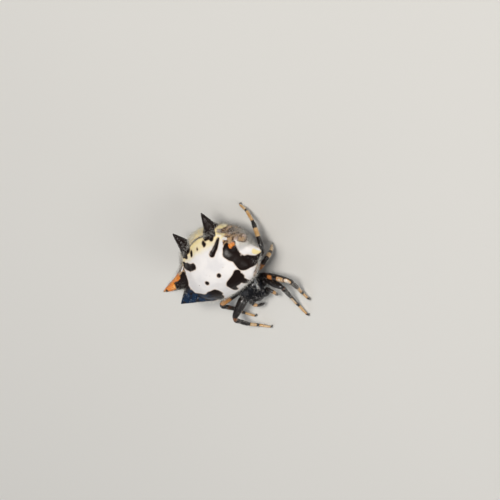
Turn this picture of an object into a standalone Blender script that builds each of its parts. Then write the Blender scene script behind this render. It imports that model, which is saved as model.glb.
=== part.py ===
"""A spiny orb weaver at life size: a broad hard abdomen with six spines, carried over a small dark
front body on eight legs.  It stands on the tips of its feet.

Sizes are millimetres from the middle of the abdomen's rim: +X is the spider's left, -Y its front, +Z up.
"""
import math

import bmesh
import bpy
from mathutils import Vector

MM = 0.001

# where the whole model stands: the rim's height above the floor, and the middle of its footprint
RIM_HEIGHT = 3.9
FOOTPRINT_MIDDLE_Y = -1.882

# clear space between neighbouring pieces, and under each small eye
GAP = 0.12
EYE_GAP = 0.05

# the abdomen's rim seen from above, and how far it rises and hangs
RIM_HALF_WIDTH = 4.0
RIM_FRONT = 2.6
RIM_BACK = 3.1
DOME_HEIGHT = 1.55
BELLY_DEPTH = 2.95
FRONT_LEAN = 0.9

# how square the rim, the dome and the belly are, at the front and at the back
RIM_SQUARENESS = (2.4, 1.8)
DOME_SQUARENESS = (2.4, 3.0)
BELLY_FULLNESS = (2.0, 2.9)

# the swollen band under the back of the rim, between the rear spines
SWELL = 0.55
SWELL_Z = -0.85
SWELL_HALF_HEIGHT = 0.75

# each spine of the left side: root, tip and radius at the root
SPINES = {
    "rear": (Vector((1.55, 2.55, -0.45)), Vector((1.88, 4.64, -0.36)), 0.92),
    "middle": (Vector((3.30, 0.78, -0.05)), Vector((5.31, 1.13, 1.30)), 1.08),
    "front": (Vector((3.35, -0.48, -0.25)), Vector((5.21, -0.69, 0.56)), 0.92),
}
SPINE_TIP_RADIUS = 0.05
SPINE_FLARE = 0.14
SPINE_ROOT_SINK = 0.45

# the front body: its ends, greatest half width, the height of its roof and its flat underside
HEAD_FRONT = -4.42
THORAX_BACK = -1.95
CARAPACE_HALF_WIDTH = 1.32
CARAPACE_ROOF = -1.05
HEAD_DROP = 0.72
CARAPACE_UNDERSIDE = -2.12

STERNUM_HALF_WIDTH = 0.50
STERNUM_FRONT = -3.62
STERNUM_BACK = -2.06
STERNUM_BOTTOM = -2.86

PEDICEL_RADIUS = 0.25
SPINNERET_RADIUS = 0.52
SPINNERET_LENGTH = 0.55
SPINNERET_Y = 0.55

# the feet stand on small flats at this height, and each last bit of foot points straight down
FLOOR = -RIM_HEIGHT
FOOT_DROP = 0.32

# how far each rounded corner of a limb reaches from its point
KNEE_REACH = 0.46
JOINT_REACH = 0.30

# the most of a length that the rounding at either end of it may take up
REACH_SHARE = 0.46

LEG_SIDES = 10
COXA_HEIGHT = -2.5
COXA_X = STERNUM_HALF_WIDTH + GAP + 0.05

# radius at root, trochanter, knee, tibia end, metatarsus end and foot
LEG_RADII = (0.20, 0.22, 0.24, 0.20, 0.16, 0.12)

# where each leg joins the front body, along it
LEG_ROOT_Y = {1: -3.60, 2: -3.04, 3: -2.48, 4: -1.94}

# trochanter, knee, tibia end, metatarsus end and foot of each leg, on the side where x is positive
LEFT_LEGS = {
    1: ((1.5, -3.45, -2.45), (2.98, -4.68, -1.5), (2.12, -5.87, -2.8), (1.79, -6.98, -3.4), (1.79, -8.26)),
    2: ((1.5, -2.9, -2.42), (3.98, -4.5, -1.5), (3.19, -5.57, -2.9), (2.96, -6.31, -3.35), (2.94, -7.17)),
    3: ((1.42, -2.32, -2.48), (3.27, -1.91, -1.6), (3.6, -1.65, -2.5), (3.44, -1.5, -3.25), (3.38, -1.31)),
    4: ((1.42, -1.77, -2.86), (3.99, -0.94, -1.25), (4.07, 1.32, -2.5), (3.76, 2.42, -3.2), (3.28, 3.13)),
}
RIGHT_LEGS = {
    1: ((1.4, -3.62, -2.45), (3.18, -4.74, -1.5), (3.23, -5.93, -2.7), (2.93, -6.55, -3.35), (2.15, -7.36)),
    2: ((1.42, -2.92, -2.5), (3.66, -2.96, -1.6), (3.24, -4.14, -2.6), (3.32, -4.92, -3.3), (2.76, -5.78)),
    3: LEFT_LEGS[3],
    4: LEFT_LEGS[4],
}
LEG_PIECES = ("femur", "tibia", "metatarsus", "tarsus")

# each eye of the left side: how far back from the head's front, angle up from level, radius
EYES = {
    "front_median": (0.10, 72.0, 0.11),
    "rear_median": (0.42, 78.0, 0.11),
    "front_lateral": (0.16, 22.0, 0.09),
    "rear_lateral": (0.46, 27.0, 0.09),
}

COLOURS = {
    "shell": ((0.80, 0.74, 0.60, 1.0), 0.45),
    "carapace": ((0.025, 0.022, 0.022, 1.0), 0.30),
    "mouthparts": ((0.030, 0.022, 0.018, 1.0), 0.35),
    "eye": ((0.010, 0.010, 0.012, 1.0), 0.08),
    "dark_leg": ((0.035, 0.024, 0.018, 1.0), 0.40),
    "banded_leg": ((0.46, 0.27, 0.11, 1.0), 0.42),
}


def clear_scene():
    for old in list(bpy.data.objects):
        bpy.data.objects.remove(old, do_unlink=True)


def material(name):
    found = bpy.data.materials.get(name)
    if found:
        return found
    colour, roughness = COLOURS[name]
    made = bpy.data.materials.new(name)
    made.use_nodes = True
    shader = made.node_tree.nodes["Principled BSDF"]
    shader.inputs["Base Color"].default_value = colour
    shader.inputs["Roughness"].default_value = roughness
    shader.inputs["Metallic"].default_value = 0.0
    return made


def solid_from_rings(name, rings, finish):
    """Skin a stack of equal rings and close both ends with a fan."""
    mesh_builder = bmesh.new()
    sides = len(rings[0])
    verts = [[mesh_builder.verts.new(p * MM) for p in ring] for ring in rings]
    for low, high in zip(verts, verts[1:]):
        for i in range(sides):
            j = (i + 1) % sides
            mesh_builder.faces.new((low[i], low[j], high[j], high[i]))
    for ring in (verts[0], verts[-1]):
        centre = mesh_builder.verts.new(sum((v.co for v in ring), Vector()) / sides)
        for i in range(sides):
            mesh_builder.faces.new((ring[i], ring[(i + 1) % sides], centre))
    bmesh.ops.triangulate(mesh_builder, faces=mesh_builder.faces)
    bmesh.ops.recalc_face_normals(mesh_builder, faces=mesh_builder.faces)
    mesh = bpy.data.meshes.new(name)
    mesh_builder.to_mesh(mesh)
    mesh_builder.free()
    mesh.materials.append(material(finish))
    mesh.shade_smooth()
    made = bpy.data.objects.new(name, mesh)
    made.location = Vector((0.0, -FOOTPRINT_MIDDLE_Y, RIM_HEIGHT)) * MM
    bpy.context.scene.collection.objects.link(made)
    return made


def keep_largest_surface(made):
    """Keep the closed surface that holds the most vertices, and drop any loose scrap."""
    shape = bmesh.new()
    shape.from_mesh(made.data)
    unseen = set(shape.verts)
    groups = []
    while unseen:
        stack = [unseen.pop()]
        group = set(stack)
        while stack:
            for edge in stack.pop().link_edges:
                for vert in edge.verts:
                    if vert in unseen:
                        unseen.remove(vert)
                        group.add(vert)
                        stack.append(vert)
        groups.append(group)
    largest = max(groups, key=len)
    scraps = [v for v in shape.verts if v not in largest]
    bmesh.ops.delete(shape, geom=scraps, context="VERTS")
    bmesh.ops.triangulate(shape, faces=shape.faces)
    shape.to_mesh(made.data)
    shape.free()


def fuse(base, pieces):
    """Join closed pieces to the base in one union, and remove them."""
    group = bpy.data.collections.new(base.name + "_pieces")
    for piece in pieces:
        group.objects.link(piece)
    join = base.modifiers.new("join", "BOOLEAN")
    join.operation = "UNION"
    join.operand_type = "COLLECTION"
    join.collection = group
    join.solver = "EXACT"
    bpy.context.view_layer.update()
    graph = bpy.context.evaluated_depsgraph_get()
    fused = bpy.data.meshes.new_from_object(base.evaluated_get(graph))
    base.modifiers.remove(join)
    base.data = fused
    for piece in pieces:
        bpy.data.objects.remove(piece, do_unlink=True)
    bpy.data.collections.remove(group)
    keep_largest_surface(base)
    base.data.shade_smooth()


def tube_rings(centres, tangents, radii, sides):
    """Rings square to the tangents, turned as little as possible from one to the next."""
    side = Vector((0.0, 0.0, 1.0)).cross(tangents[0])
    if side.length < 0.2:
        side = Vector((0.0, 1.0, 0.0)).cross(tangents[0])
    rings = []
    for centre, tangent, radius in zip(centres, tangents, radii):
        side = side - tangent * side.dot(tangent)
        side.normalize()
        other = tangent.cross(side)
        turns = [2.0 * math.pi * k / sides for k in range(sides)]
        rings.append([centre + (side * math.cos(a) + other * math.sin(a)) * radius for a in turns])
    return rings


def ease(low, high, value):
    """A smooth share from 0 at low to 1 at high."""
    share = min(max((value - low) / (high - low), 0.0), 1.0)
    return share * share * (3.0 - 2.0 * share)


def front_to_back(pair, along):
    return pair[0] + (pair[1] - pair[0]) * ease(-0.2, 0.6, along)


def abdomen_point(turn, inner, height_sign):
    """A point of the shell at an angle round it, at a share of the way from the pole to the rim."""
    direction = Vector((math.cos(turn), math.sin(turn), 0.0))
    along = direction.y
    reach = RIM_BACK if along > 0.0 else RIM_FRONT
    power = RIM_SQUARENESS[1] if along > 0.0 else RIM_SQUARENESS[0]
    spread = abs(direction.x / RIM_HALF_WIDTH) ** power + abs(along / reach) ** power
    point = direction * spread ** (-1.0 / power) * inner
    if height_sign > 0:
        point.z = DOME_HEIGHT * (1.0 - inner ** front_to_back(DOME_SQUARENESS, along))
    else:
        fullness = front_to_back(BELLY_FULLNESS, along)
        sink = (1.0 - inner ** (1.15 * fullness)) ** (1.0 / fullness)
        point.y += FRONT_LEAN * sink * (1.0 - inner * along) / 2.0
        point.z = -BELLY_DEPTH * sink
    near_band = math.exp(-((point.z - SWELL_Z) / SWELL_HALF_HEIGHT) ** 2) * ease(0.45, -0.35, point.z)
    point += direction * SWELL * near_band * ease(0.05, 0.9, along) * ease(0.3, 0.8, inner)
    return point


def build_abdomen():
    sides = 48
    turns = [2.0 * math.pi * k / sides for k in range(sides)]
    dome_steps = (0.12, 0.30, 0.46, 0.60, 0.72, 0.82, 0.91, 0.97)
    belly_steps = (1.0, 0.992, 0.965, 0.92, 0.85, 0.74, 0.58, 0.38, 0.16)
    rings = [[abdomen_point(t, inner, 1) for t in turns] for inner in dome_steps]
    rings += [[abdomen_point(t, inner, -1) for t in turns] for inner in belly_steps]
    abdomen = solid_from_rings("abdomen", rings, "shell")
    spines = []
    for place, (root, tip, radius) in SPINES.items():
        for mirror in (1, -1):
            spines.append(build_spine(place, root, tip, radius, mirror))
    fuse(abdomen, spines)


def build_spine(place, root, tip, radius, mirror):
    """A cone with a wide foot and a fine point."""
    flip = Vector((mirror, 1.0, 1.0))
    start = root * flip
    end = tip * flip
    axis = (end - start).normalized()
    shares = (0.0, 0.25, 0.45, 0.65, 0.82, 0.94, 1.0)
    centres = [start - axis * SPINE_ROOT_SINK] + [start.lerp(end, s) for s in shares]
    radii = [radius * 1.05]
    for s in shares:
        hollow = 1.0 - SPINE_FLARE * math.sin(math.pi * s)
        radii.append(max(radius * (1.0 - s) * hollow, 0.0) + SPINE_TIP_RADIUS)
    rings = tube_rings(centres, [axis] * len(centres), radii, 12)
    return solid_from_rings("spine_" + place + str(mirror), rings, "shell")


def roof_height(share):
    """The carapace's roof from its back, share 0, to its front, share 1: highest at the middle."""
    rise = math.sin(math.pi * min(share / 0.50, 1.0) / 2.0) ** 0.9
    fall = max(share - 0.50, 0.0) / 0.50
    low_back = CARAPACE_UNDERSIDE + 0.35
    return low_back + (CARAPACE_ROOF - low_back) * rise - HEAD_DROP * fall ** 2.0


def carapace_half_width(share):
    """Narrow at the waist, widest over the second legs, squarer at the head."""
    wide = CARAPACE_HALF_WIDTH * (0.45 + 0.55 * math.sin(math.pi * min(share / 0.45, 1.0) / 2.0))
    narrowing = max(share - 0.45, 0.0) / 0.55
    return wide - 0.36 * CARAPACE_HALF_WIDTH * narrowing ** 1.6


def carapace_point(share, turn):
    """A point of the carapace's section: turn 0 is its left edge and a quarter turn is its roof."""
    y = THORAX_BACK + (HEAD_FRONT - THORAX_BACK) * share
    edge = CARAPACE_UNDERSIDE + 0.25
    across = math.copysign(abs(math.cos(turn)) ** 0.85, math.cos(turn))
    x = carapace_half_width(share) * across
    if math.sin(turn) >= 0.0:
        z = edge + (roof_height(share) - edge) * math.sin(turn) ** 0.9
    else:
        z = edge + (edge - CARAPACE_UNDERSIDE) * -(-math.sin(turn)) ** 0.6
    return Vector((x, y, z))


def build_carapace():
    sides = 24
    turns = [2.0 * math.pi * k / sides for k in range(sides)]
    shares = (0.0, 0.06, 0.14, 0.24, 0.35, 0.46, 0.57, 0.68, 0.79, 0.89, 0.96, 1.0)
    rings = [[carapace_point(s, t) for t in turns] for s in shares]
    solid_from_rings("carapace", rings, "carapace")


def build_sternum():
    """A heart-shaped plate under the front body, between the leg roots."""
    sides = 16
    length = STERNUM_BACK - STERNUM_FRONT
    middle = (STERNUM_BACK + STERNUM_FRONT) / 2.0
    top = CARAPACE_UNDERSIDE - GAP
    rings = []
    for z, width in ((top, 1.0), (top - 0.35, 1.0), (STERNUM_BOTTOM, 0.72)):
        ring = []
        for k in range(sides):
            a = 2.0 * math.pi * k / sides
            along = math.sin(a)
            waist = 1.0 - 0.28 * max(along, 0.0)
            x = STERNUM_HALF_WIDTH * width * waist * math.copysign(abs(math.cos(a)) ** 0.6, math.cos(a))
            ring.append(Vector((x, middle + along * width * length / 2.0, z)))
        rings.append(ring)
    solid_from_rings("sternum", rings, "mouthparts")


def build_pedicel():
    """The short stalk from the leaning front of the abdomen to the back of the front body."""
    belly_side = Vector((0.0, -0.735, -0.678))
    ahead = Vector((0.0, -1.0, 0.0))
    start = Vector((0.0, -1.53, -1.92)) + belly_side * GAP
    end = Vector((0.0, THORAX_BACK + GAP, -1.96))
    rings = tube_rings([start, end], [belly_side, ahead], [PEDICEL_RADIUS] * 2, 12)
    solid_from_rings("pedicel", rings, "mouthparts")


def build_spinnerets():
    top = -BELLY_DEPTH - GAP
    heights = (0.0, 0.45, 0.75, 1.0)
    widths = (1.0, 0.92, 0.62, 0.34)
    centres = [Vector((0.0, SPINNERET_Y, top - SPINNERET_LENGTH * h)) for h in heights]
    radii = [SPINNERET_RADIUS * w for w in widths]
    rings = tube_rings(centres, [Vector((0.0, 0.0, -1.0))] * len(centres), radii, 14)
    solid_from_rings("spinnerets", rings, "mouthparts")


def build_mouthparts(side, mirror):
    """One stout jaw with its folded fang, and one short feeler."""
    flip = Vector((mirror, 1.0, 1.0))
    jaw_top = Vector((0.41, -4.18, CARAPACE_UNDERSIDE - GAP)) * flip
    jaw_end = Vector((0.37, -4.42, -3.22)) * flip
    down = Vector((0.0, 0.0, -1.0))
    jaw_axis = (jaw_end - jaw_top).normalized()
    centres = [jaw_top, jaw_top.lerp(jaw_end, 0.4), jaw_top.lerp(jaw_end, 0.8), jaw_end]
    rings = tube_rings(centres, [down, jaw_axis, jaw_axis, jaw_axis], [0.33, 0.34, 0.30, 0.22], 12)
    solid_from_rings("chelicera_" + side, rings, "mouthparts")

    fang_root = jaw_end + jaw_axis * GAP
    fang_tip = Vector((0.16, -4.18, -3.66)) * flip
    fang_bend = Vector((0.33, -4.40, -3.50)) * flip
    tangents = [jaw_axis, (fang_tip - fang_root).normalized(), (fang_tip - fang_bend).normalized()]
    rings = tube_rings([fang_root, fang_bend, fang_tip], tangents, [0.13, 0.10, 0.04], 8)
    solid_from_rings("fang_" + side, rings, "carapace")

    points = [Vector(p) * flip for p in
              ((1.04, -4.24, -2.50), (1.27, -4.59, -2.32), (1.15, -5.00, -2.72), (0.82, -5.20, -3.22))]
    build_limb("palp_" + side, points, (0.22, 0.24, 0.22, 0.12), ("dark_leg",), (0, 3), 8)


def corner(before, here, after, reach):
    """The three points of a rounded corner and their directions."""
    arrive = (here - before).normalized()
    leave = (after - here).normalized()
    start = here - arrive * reach
    end = here + leave * reach
    middle = (start + here * 2.0 + end) / 4.0
    return (start, arrive), (middle, (end - start).normalized()), (end, leave)


def corner_reach(points, i, knee):
    """How far a corner is rounded, kept short enough that it stays clear of the next corner."""
    reach = KNEE_REACH if i == knee else JOINT_REACH
    if i > 1:
        reach = min(reach, REACH_SHARE * (points[i] - points[i - 1]).length)
    if i < len(points) - 2:
        reach = min(reach, REACH_SHARE * (points[i + 1] - points[i]).length)
    return reach


def build_limb(name, points, radii, finishes, cuts, sides, pieces=("",), knee=None):
    """A tube along rounded corners, parted at the corners whose numbers are in cuts."""
    stations = [[] for _ in cuts[1:]]
    for i, here in enumerate(points):
        piece = max(k for k, cut in enumerate(cuts[:-1]) if i >= cut)
        if i == 0:
            stations[0].append((here, (points[1] - here).normalized(), radii[0]))
        elif i == len(points) - 1:
            stations[-1].append((here, (here - points[i - 1]).normalized(), radii[-1]))
        else:
            reach = corner_reach(points, i, knee)
            start, middle, end = corner(points[i - 1], here, points[i + 1], reach)
            if i in cuts:
                stations[piece - 1].append((*start, radii[i]))
                stations[piece - 1].append((middle[0] - middle[1] * GAP / 2.0, middle[1], radii[i]))
                stations[piece].append((middle[0] + middle[1] * GAP / 2.0, middle[1], radii[i]))
                stations[piece].append((*end, radii[i]))
            else:
                stations[piece] += [(*start, radii[i]), (*middle, radii[i]), (*end, radii[i])]
    for rows, piece_name, finish in zip(stations, pieces, finishes):
        centres, tangents, widths = zip(*rows)
        rings = tube_rings(centres, tangents, widths, sides)
        solid_from_rings(name + piece_name, rings, finish)


def build_leg(side, mirror, number, joints):
    """Root, four jointed lengths and a foot that ends in a level flat on the floor."""
    foot_x, foot_y = joints[-1]
    points = [(COXA_X, LEG_ROOT_Y[number], COXA_HEIGHT)] + list(joints[:-1])
    points += [(foot_x, foot_y, FLOOR + FOOT_DROP), (foot_x, foot_y, FLOOR)]
    flip = Vector((mirror, 1.0, 1.0))
    points = [Vector(p) * flip for p in points]
    radii = LEG_RADII[:5] + (0.16, LEG_RADII[5])
    finishes = ("dark_leg", "banded_leg", "banded_leg", "banded_leg")
    pieces = tuple("_" + piece for piece in LEG_PIECES)
    name = "leg_" + side + "_" + str(number)
    build_limb(name, points, radii, finishes, (0, 2, 3, 4, 6), LEG_SIDES, pieces, knee=2)


def build_eye(side, mirror, place):
    """A low dome that sits just off the head's surface."""
    back, lift, radius = EYES[place]
    share = 1.0 - back / (THORAX_BACK - HEAD_FRONT)
    turn = math.radians(lift if mirror > 0 else 180.0 - lift)
    step = 0.01
    here = carapace_point(share, turn)
    along = carapace_point(share - step, turn) - carapace_point(share + step, turn)
    around = carapace_point(share, turn + step) - carapace_point(share, turn - step)
    normal = along.cross(around).normalized()
    if normal.z < 0.0:
        normal = -normal
    base = here + normal * EYE_GAP
    heights = (0.0, 0.45, 0.80, 0.97)
    centres = [base + normal * radius * h for h in heights]
    radii = [radius * math.sqrt(1.0 - h * h) for h in heights]
    rings = tube_rings(centres, [normal] * len(heights), radii, 10)
    solid_from_rings("eye_" + place + "_" + side, rings, "eye")


def main():
    clear_scene()
    build_abdomen()
    build_spinnerets()
    build_pedicel()
    build_carapace()
    build_sternum()
    for side, mirror, legs in (("left", 1, LEFT_LEGS), ("right", -1, RIGHT_LEGS)):
        build_mouthparts(side, mirror)
        for place in EYES:
            build_eye(side, mirror, place)
        for number, joints in legs.items():
            build_leg(side, mirror, number, joints)


main()
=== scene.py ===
import math
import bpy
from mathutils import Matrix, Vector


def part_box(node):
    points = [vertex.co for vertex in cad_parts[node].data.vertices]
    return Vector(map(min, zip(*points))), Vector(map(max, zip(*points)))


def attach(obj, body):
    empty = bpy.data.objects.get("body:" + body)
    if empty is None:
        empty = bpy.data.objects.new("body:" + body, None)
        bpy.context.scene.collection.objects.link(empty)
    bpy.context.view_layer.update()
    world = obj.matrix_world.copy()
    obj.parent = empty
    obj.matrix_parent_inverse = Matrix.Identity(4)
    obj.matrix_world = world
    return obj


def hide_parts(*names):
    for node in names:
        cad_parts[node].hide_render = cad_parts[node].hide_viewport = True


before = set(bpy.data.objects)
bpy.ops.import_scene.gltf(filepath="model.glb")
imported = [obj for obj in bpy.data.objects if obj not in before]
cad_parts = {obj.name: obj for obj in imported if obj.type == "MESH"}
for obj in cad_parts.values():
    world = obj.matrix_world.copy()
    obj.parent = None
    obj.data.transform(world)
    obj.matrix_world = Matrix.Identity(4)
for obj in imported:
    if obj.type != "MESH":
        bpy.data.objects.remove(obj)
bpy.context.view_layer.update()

from types import SimpleNamespace

import bpy
import numpy as np
from mathutils import Matrix, Vector

# Everything is modelled in millimetres from the middle of the abdomen's rim, as the solids are:
# +X is the spider's left, -Y its front and +Z up.
MM = 0.001

# the abdomen's rim seen from above, and how far it rises and hangs
RIM_HALF_WIDTH = 4.0
RIM_FRONT = 2.6
RIM_BACK = 3.1
DOME_HEIGHT = 1.55
BELLY_DEPTH = 2.95
FRONT_LEAN = 0.9

# how square the rim, the dome and the belly are, at the front and at the back
RIM_SQUARENESS = (2.4, 1.8)
DOME_SQUARENESS = (2.4, 3.0)
BELLY_FULLNESS = (2.0, 2.9)

# the swollen band under the back of the rim, between the rear spines
SWELL = 0.55
SWELL_Z = -0.85
SWELL_HALF_HEIGHT = 0.75

# each spine of the left side: root, tip and radius at the root
SPINES = {
    "rear": ((1.55, 2.55, -0.45), (1.88, 4.64, -0.36), 0.92),
    "middle": ((3.30, 0.78, -0.05), (5.31, 1.13, 1.30), 1.08),
    "front": ((3.35, -0.48, -0.25), (5.21, -0.69, 0.56), 0.92),
}
# what broadens each front spine towards the middle spine and along the front margin
FRONT_SPINE_WEBS = (
    ((3.42, -0.08, -0.02), (5.16, -0.66, 0.55), 0.74),
    ((2.35, -1.62, -0.22), (5.12, -0.72, 0.50), 0.62),
)
SPINE_TIP_RADIUS = 0.05
SPINE_FLARE = 0.14
SPINE_ROOT_SINK = 0.45

# the thin dark groove along the back of the rim, and how deep it and the black pits are pressed in
GROOVE_SHARE = 1.0
GROOVE_HALF_WIDTH = 0.05
GROOVE_DEPTH = 0.08
PIT_DEPTH = 0.09

# the shell's skin: the size of its faces, and how wide the joins of the spines are rounded
SKIN_VOXEL = 0.045
FILLET_WIDTH = 0.4

# the front body: its ends, greatest half width, the height of its roof and its flat underside
HEAD_FRONT = -4.42
THORAX_BACK = -1.95
CARAPACE_HALF_WIDTH = 1.32
CARAPACE_ROOF = -1.05
HEAD_DROP = 0.72
CARAPACE_UNDERSIDE = -2.12
STERNUM_HALF_WIDTH = 0.50

# the abdomen's box in the frame says where the middle of the rim stands
SHELL_LOW, SHELL_HIGH = (np.array(corner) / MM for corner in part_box("abdomen"))
RIM_HEIGHT = SHELL_LOW[2] + BELLY_DEPTH
REAR_SPINE_REACH = 4.65
ORIGIN = np.array([0.0, SHELL_HIGH[1] - REAR_SPINE_REACH, RIM_HEIGHT])
FLOOR = -RIM_HEIGHT

# legs: where each root joins, how high the roots and the last bend lie, how far the corners are
# rounded, and the most of a length that the rounding at either end of it may take up
LEG_ROOT_Y = {1: -3.60, 2: -3.04, 3: -2.48, 4: -1.94}
COXA_HEIGHT = -2.5
FOOT_DROP = 0.32
KNEE_REACH = 0.46
JOINT_REACH = 0.30
REACH_SHARE = 0.46
LEG_SIDES = 16

# trochanter, knee, tibia end and metatarsus end of each leg, then where its foot stands
LEFT_LEGS = {
    1: ((1.5, -3.45, -2.45), (2.98, -4.68, -1.5), (2.12, -5.87, -2.8), (1.79, -6.98, -3.4), (1.79, -8.26)),
    2: ((1.5, -2.9, -2.42), (3.98, -4.5, -1.5), (3.19, -5.57, -2.9), (2.96, -6.31, -3.35), (2.94, -7.17)),
    3: ((1.42, -2.32, -2.48), (3.27, -1.91, -1.6), (3.6, -1.65, -2.5), (3.44, -1.5, -3.25), (3.38, -1.31)),
    4: ((1.42, -1.77, -2.86), (3.99, -0.94, -1.25), (4.07, 1.32, -2.5), (3.76, 2.42, -3.2), (3.28, 3.13)),
}
RIGHT_LEGS = {
    1: ((1.4, -3.62, -2.45), (3.29, -4.64, -1.44), (3.23, -5.93, -2.7), (2.93, -6.55, -3.35), (2.15, -7.36)),
    2: ((1.42, -2.92, -2.5), (3.66, -2.96, -1.6), (3.24, -4.14, -2.6), (3.32, -4.92, -3.3), (2.76, -5.78)),
    3: LEFT_LEGS[3],
    4: LEFT_LEGS[4],
}

# black marks of the back, each a chain of round spots: across, along, radius
BLACK_MARKS = {
    "centre_dot_left": ((0.68, -0.44, 0.17), (0.72, -0.42, 0.17)),
    "centre_dot_right": ((-0.78, -0.40, 0.17), (-0.82, -0.38, 0.17)),
    "back_row_middle": ((0.05, 2.46, 0.07), (0.09, 2.36, 0.07)),
    "back_row_left": ((0.80, 2.54, 0.12), (0.90, 2.34, 0.15)),
    "back_row_right": ((-0.76, 2.52, 0.13), (-0.80, 2.34, 0.15)),
    "back_corner_left": ((1.50, 2.85, 0.16), (1.68, 2.42, 0.21)),
    "back_corner_right": ((-1.58, 2.42, 0.20), (-1.80, 2.62, 0.24)),
    "long_pit_left": ((1.32, 1.36, 0.24), (1.78, 1.62, 0.21), (2.14, 2.00, 0.13)),
    "long_pit_right": ((-1.02, 1.40, 0.25), (-1.62, 1.56, 0.30), (-2.32, 1.90, 0.24)),
    "shoulder_left": ((0.74, -1.72, 0.42), (1.30, -1.62, 0.50), (1.78, -1.48, 0.44)),
    "shoulder_left_top": ((1.76, -1.40, 0.38), (2.04, -1.12, 0.26)),
    "shoulder_left_front": ((0.62, -1.85, 0.34), (0.44, -2.20, 0.20)),
    "shoulder_left_edge": ((1.60, -1.80, 0.36), (1.62, -2.30, 0.26)),
    "side_band_left": ((4.90, -1.16, 0.46), (3.70, -1.10, 0.50), (2.84, -1.00, 0.48), (2.82, -0.12, 0.36),
                       (2.62, 0.60, 0.52), (2.70, 1.00, 0.42)),
    "side_patch_left": ((2.90, 0.78, 0.50), (3.45, 0.72, 0.34)),
    "shoulder_right": ((-1.02, -1.62, 0.40), (-1.45, -1.60, 0.47), (-2.10, -1.68, 0.48)),
    "shoulder_right_front": ((-1.30, -1.95, 0.35), (-1.70, -2.30, 0.26)),
    "side_band_right": ((-2.10, -1.66, 0.48), (-3.00, -1.42, 0.62), (-4.30, -0.92, 0.84)),
    "side_patch_right": ((-4.40, 0.72, 0.72), (-3.30, 0.86, 0.56), (-2.84, 1.22, 0.30)),
    "side_join_right": ((-3.82, 0.55, 0.52), (-3.95, -0.50, 0.62)),
}

# light patches over the black, the blob and the spot on the left and the strips on the right, and the
# yellow tips of both front spines: across, along, height, radius
WHITE_BLOB = ((4.05, 0.62, 0.85, 0.46), (3.80, 0.14, 0.30, 0.66), (4.40, -0.46, 0.42, 0.44),
              (4.86, -0.64, 0.58, 0.26))
FRONT_SPOT = ((0.98, -2.44, 0.22, 0.13), (1.22, -2.36, 0.22, 0.09))
RIM_STRIPS = (
    ((-4.10, -1.44, 0.24, 0.12), (-3.13, -1.94, 0.04, 0.24), (-2.50, -2.30, -0.06, 0.22)),
    ((-1.95, -2.52, 0.00, 0.13), (-1.20, -2.68, 0.02, 0.15)),
)
LIGHT_PATCHES = (WHITE_BLOB, FRONT_SPOT, *RIM_STRIPS)
YELLOW_TIP = ((4.46, -0.52, 0.44, 0.26), (4.80, -0.78, 0.50, 0.18))

# light lumps and thin creases at the back of both sides: across, along, height, radius
REAR_LUMPS = (
    ((2.26, 2.84, -0.36, 0.26), (2.74, 2.62, -0.70, 0.34)),
    ((2.22, 2.30, 0.20, 0.16), (2.42, 2.14, 0.22, 0.16)),
    ((2.70, 1.82, 0.36, 0.15), (2.92, 1.56, 0.42, 0.15)),
)
CREASES = (
    ((1.80, 2.86, 0.06, 0.06), (2.38, 2.47, -0.05, 0.09), (3.05, 1.95, -0.02, 0.06)),
    ((2.44, 2.40, 0.00, 0.03), (2.60, 1.94, 0.34, 0.04)),
)

# small brown specks of the back: across, along
SPECKS = ((1.50, -0.06), (-1.74, -0.19), (-0.28, 0.20), (-0.10, -0.02))

# the bluish white streak on the left shoulder of the carapace, pale hairs and a painted highlight along
# them: across, along, height, radius
PALE_HAIR_AND_HIGHLIGHT_STREAK = ((1.20, -2.62, -1.62, 0.06), (1.08, -2.98, -1.46, 0.10), (0.98, -3.44, -1.36, 0.06))

# the camera: its axes, how far it stands from the middle of the rim, where it aims and its lens
CAMERA_RIGHT = Vector((0.6667, -0.6137, -0.4230))
CAMERA_UP = Vector((0.4610, 0.7855, -0.4129))
CAMERA_DISTANCE = 130.0
AIM_RIGHT = 2.714
AIM_UP = 1.526
LENS = 109.6
SENSOR = 36.0

# each light: its place and size in metres, its power in watts and its colour; then the sky, and half
# of the floor's side in metres
LIGHTS = {
    "key": ((0.12, 0.09, 0.28), 0.10, 0.86, (1.0, 0.97, 0.93)),
    "fill": ((-0.24, -0.02, 0.20), 0.25, 0.16, (0.93, 0.96, 1.0)),
    "front": ((0.18, -0.20, 0.16), 0.14, 0.28, (1.0, 0.99, 0.97)),
}
SKY_COLOUR = (0.85, 0.90, 1.0, 1.0)
SKY_STRENGTH = 0.13
FLOOR_HALF_SIZE = 0.6

# hairs: how far they curl, the radius halfway up as a share of the width at the root, the size on the
# unwrap, the faces over a hair's seven points, and how many hairs each piece has
HAIR_BEND = 0.25
HAIR_MIDDLE = 0.34
HAIR_PATCH = 0.003
HAIR_FACES = np.array([(0, 1, 4), (0, 4, 3), (1, 2, 5), (1, 5, 4), (2, 0, 3), (2, 3, 5),
                       (3, 4, 6), (4, 5, 6), (5, 3, 6), (2, 1, 0)])
FRINGE_HAIRS = 11000
CARAPACE_HAIRS = 420
LEG_HAIRS = 420
PALP_HAIRS = 160

# every hair is drawn from one source, in the order of the pieces
RANDOM = np.random.default_rng(11)

# the smooth noise reads a table, in steps that spread neighbouring cells over it
NOISE_TABLE = np.random.default_rng(5).random(4096)
NOISE_STEPS = np.array((73, 179, 283))
NOISE_SEED_STEP = 37

# lower than any field that says how deep a point lies inside a mark
FAR_OUTSIDE = -9.0


def smoothstep(low, high, value):
    share = np.clip((value - low) / (high - low), 0.0, 1.0)
    return share * share * (3.0 - 2.0 * share)

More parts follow.
